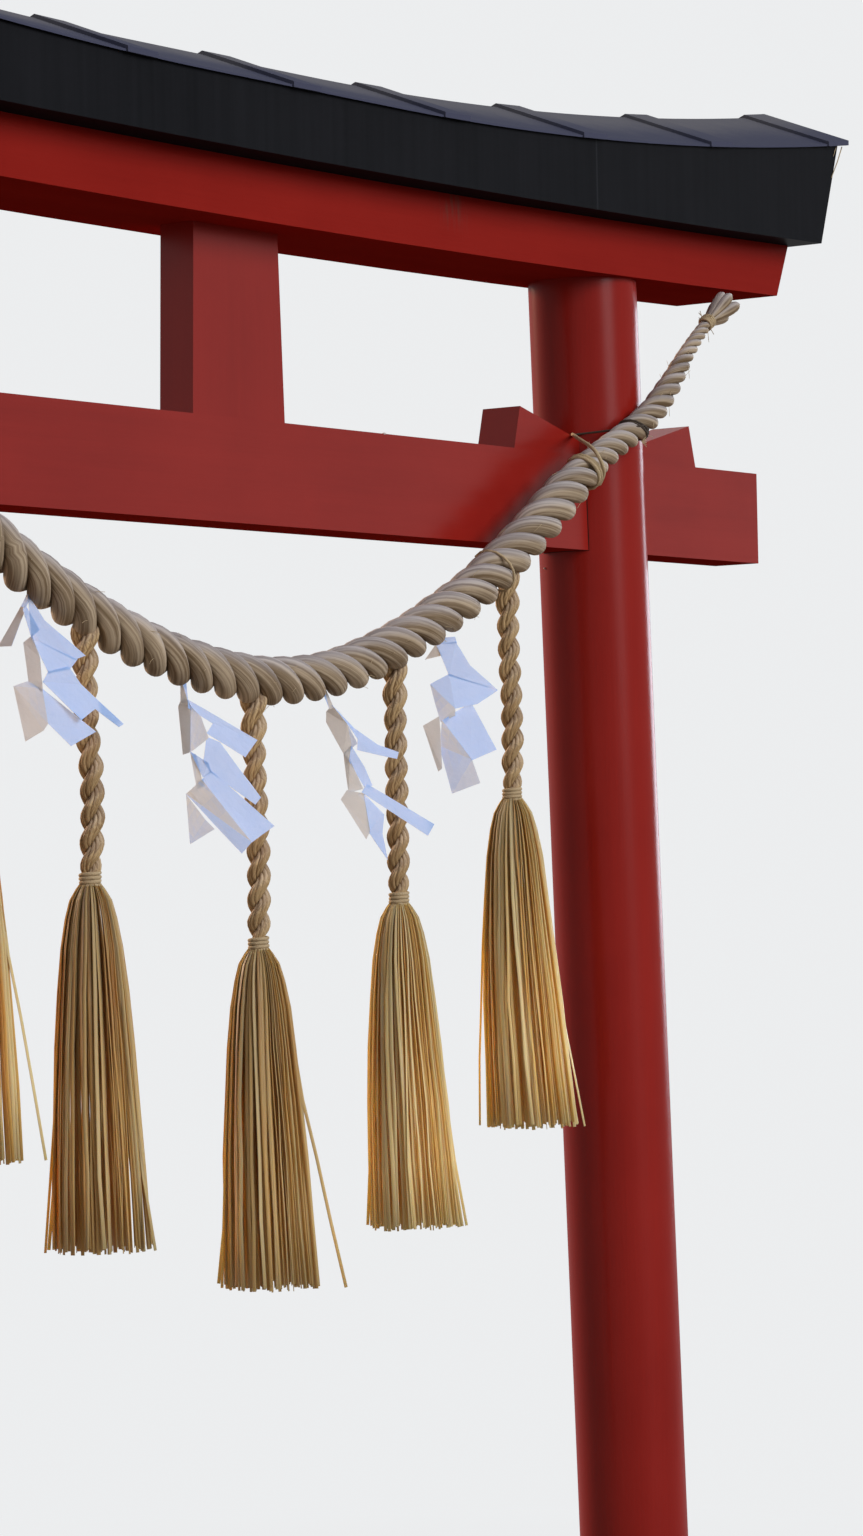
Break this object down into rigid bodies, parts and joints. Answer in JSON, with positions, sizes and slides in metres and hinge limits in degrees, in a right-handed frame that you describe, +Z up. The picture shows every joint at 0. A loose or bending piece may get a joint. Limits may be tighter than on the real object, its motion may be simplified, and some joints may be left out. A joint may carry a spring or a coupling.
{
  "type": "shrine gate",
  "caption": "Red timber shrine gate with leaning round posts, a wedged tie beam, curved lintels under a black metal roof, and a straw rope hung with tassels and folded paper.",
  "frame": {"origin": "middle of the right post's foot, on the ground; right is as seen from the front", "axes": "+X along the beams to the right end, +Y through the gate to its back, +Z up"},
  "size_m": [3.7328, 0.453, 3.1631],
  "materials": {
    "red_timber": "opaque vermilion paint, satin",
    "clad_timber": "timber wrapped in black painted sheet metal, satin",
    "roof_metal": "black painted sheet metal, satin",
    "straw": "dry rice straw, matt",
    "paper": "white paper, matt",
    "twine": "dark hemp twine, matt"
  },
  "bodies": {
    "root": {"right_pillar": "red_timber", "left_pillar": "red_timber", "tie_beam": "red_timber", "wedge_right_inner": "red_timber", "wedge_right_outer": "red_timber", "wedge_left_inner": "red_timber", "wedge_left_outer": "red_timber", "centre_strut": "red_timber", "lower_lintel": "red_timber", "top_lintel": "clad_timber", "roof_sheet_1": "roof_metal", "roof_sheet_2": "roof_metal", "roof_sheet_3": "roof_metal", "roof_sheet_4": "roof_metal", "roof_sheet_5": "roof_metal", "roof_sheet_6": "roof_metal", "roof_sheet_7": "roof_metal", "roof_sheet_8": "roof_metal", "roof_batten_1": "roof_metal", "roof_batten_2": "roof_metal", "roof_batten_3": "roof_metal", "roof_batten_4": "roof_metal", "roof_batten_5": "roof_metal", "roof_batten_6": "roof_metal", "roof_batten_7": "roof_metal", "roof_batten_8": "roof_metal", "roof_batten_9": "roof_metal", "straw_rope": "straw", "tassel_cord_1": "straw", "tassel_cord_2": "straw", "tassel_cord_3": "straw", "tassel_cord_4": "straw", "tassel_cord_5": "straw", "tassel_skirt_1": "straw", "tassel_skirt_2": "straw", "tassel_skirt_3": "straw", "tassel_skirt_4": "straw", "tassel_skirt_5": "straw", "paper_streamer_1": "paper", "paper_streamer_2": "paper", "paper_streamer_3": "paper", "paper_streamer_4": "paper", "right_pillar_tie": "twine", "left_pillar_tie": "twine"}
  },
  "joints": []
}
